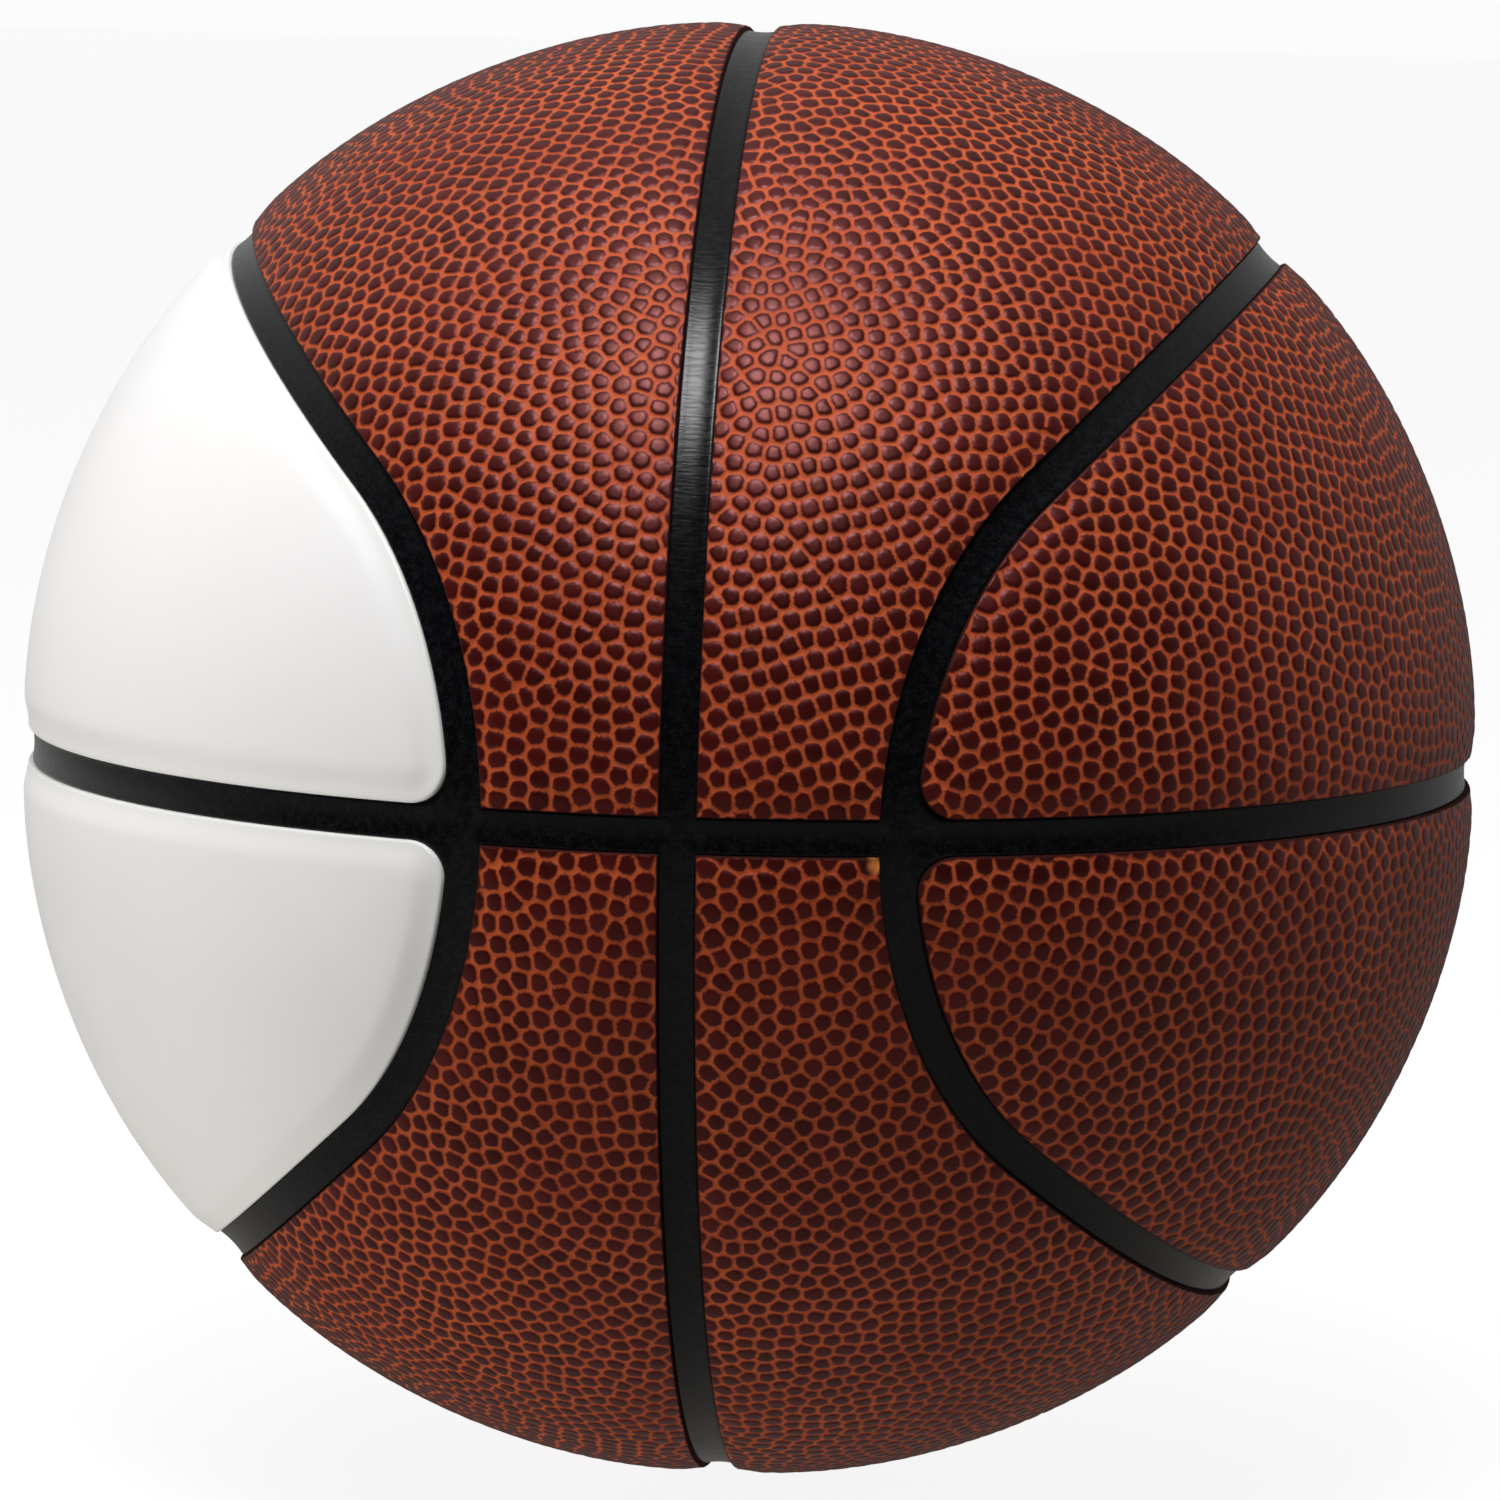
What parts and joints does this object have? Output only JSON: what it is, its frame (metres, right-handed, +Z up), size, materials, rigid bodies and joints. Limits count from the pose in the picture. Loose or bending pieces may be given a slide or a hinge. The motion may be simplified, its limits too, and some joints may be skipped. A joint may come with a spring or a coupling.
{
  "type": "basketball",
  "caption": "Inflatable indoor basketball with pebbled brown and smooth white cover panels between black rubber channels, with a replaceable valve plug.",
  "frame": {"origin": "centre of the ball", "axes": "+Z up the upright channel, -Y through the front crossing of the two straight channels, +Y out through the valve, -X through the white side panels"},
  "size_m": [0.2388, 0.2388, 0.239],
  "materials": {
    "cover_brown": "pebbled composite leather, dark maroon pebbles over orange valleys",
    "cover_white": "smooth white composite leather, soft satin",
    "channel_rubber": "matt black moulded rubber",
    "valve_rubber": "matt black soft rubber",
    "sponge": "open grey sponge rubber",
    "thread": "undyed nylon thread set in latex",
    "bladder_rubber": "smooth black butyl rubber"
  },
  "bodies": {
    "ball": {"bladder": "bladder_rubber", "valve_patch": "bladder_rubber", "winding": "thread", "carcass": "channel_rubber", "pad_mid_left_top": "sponge", "pad_mid_right_top": "sponge", "pad_mid_left_bottom": "sponge", "pad_mid_right_bottom": "sponge", "pad_side_left_top": "sponge", "pad_side_right_top": "sponge", "pad_side_left_bottom": "sponge", "pad_side_right_bottom": "sponge", "panel_mid_left_top": "cover_brown", "panel_mid_right_top": "cover_brown", "panel_mid_left_bottom": "cover_brown", "panel_mid_right_bottom": "cover_brown", "panel_side_left_top": "cover_white", "panel_side_right_top": "cover_brown", "panel_side_left_bottom": "cover_white", "panel_side_right_bottom": "cover_brown", "valve_housing": "valve_rubber"},
    "plug": {"valve_plug": "valve_rubber"}
  },
  "joints": [
    {"name": "plug_pull", "type": "slide", "parent": "ball", "child": "plug", "axis": [0, 1, 0], "range_m": [0, 0.02]}
  ]
}
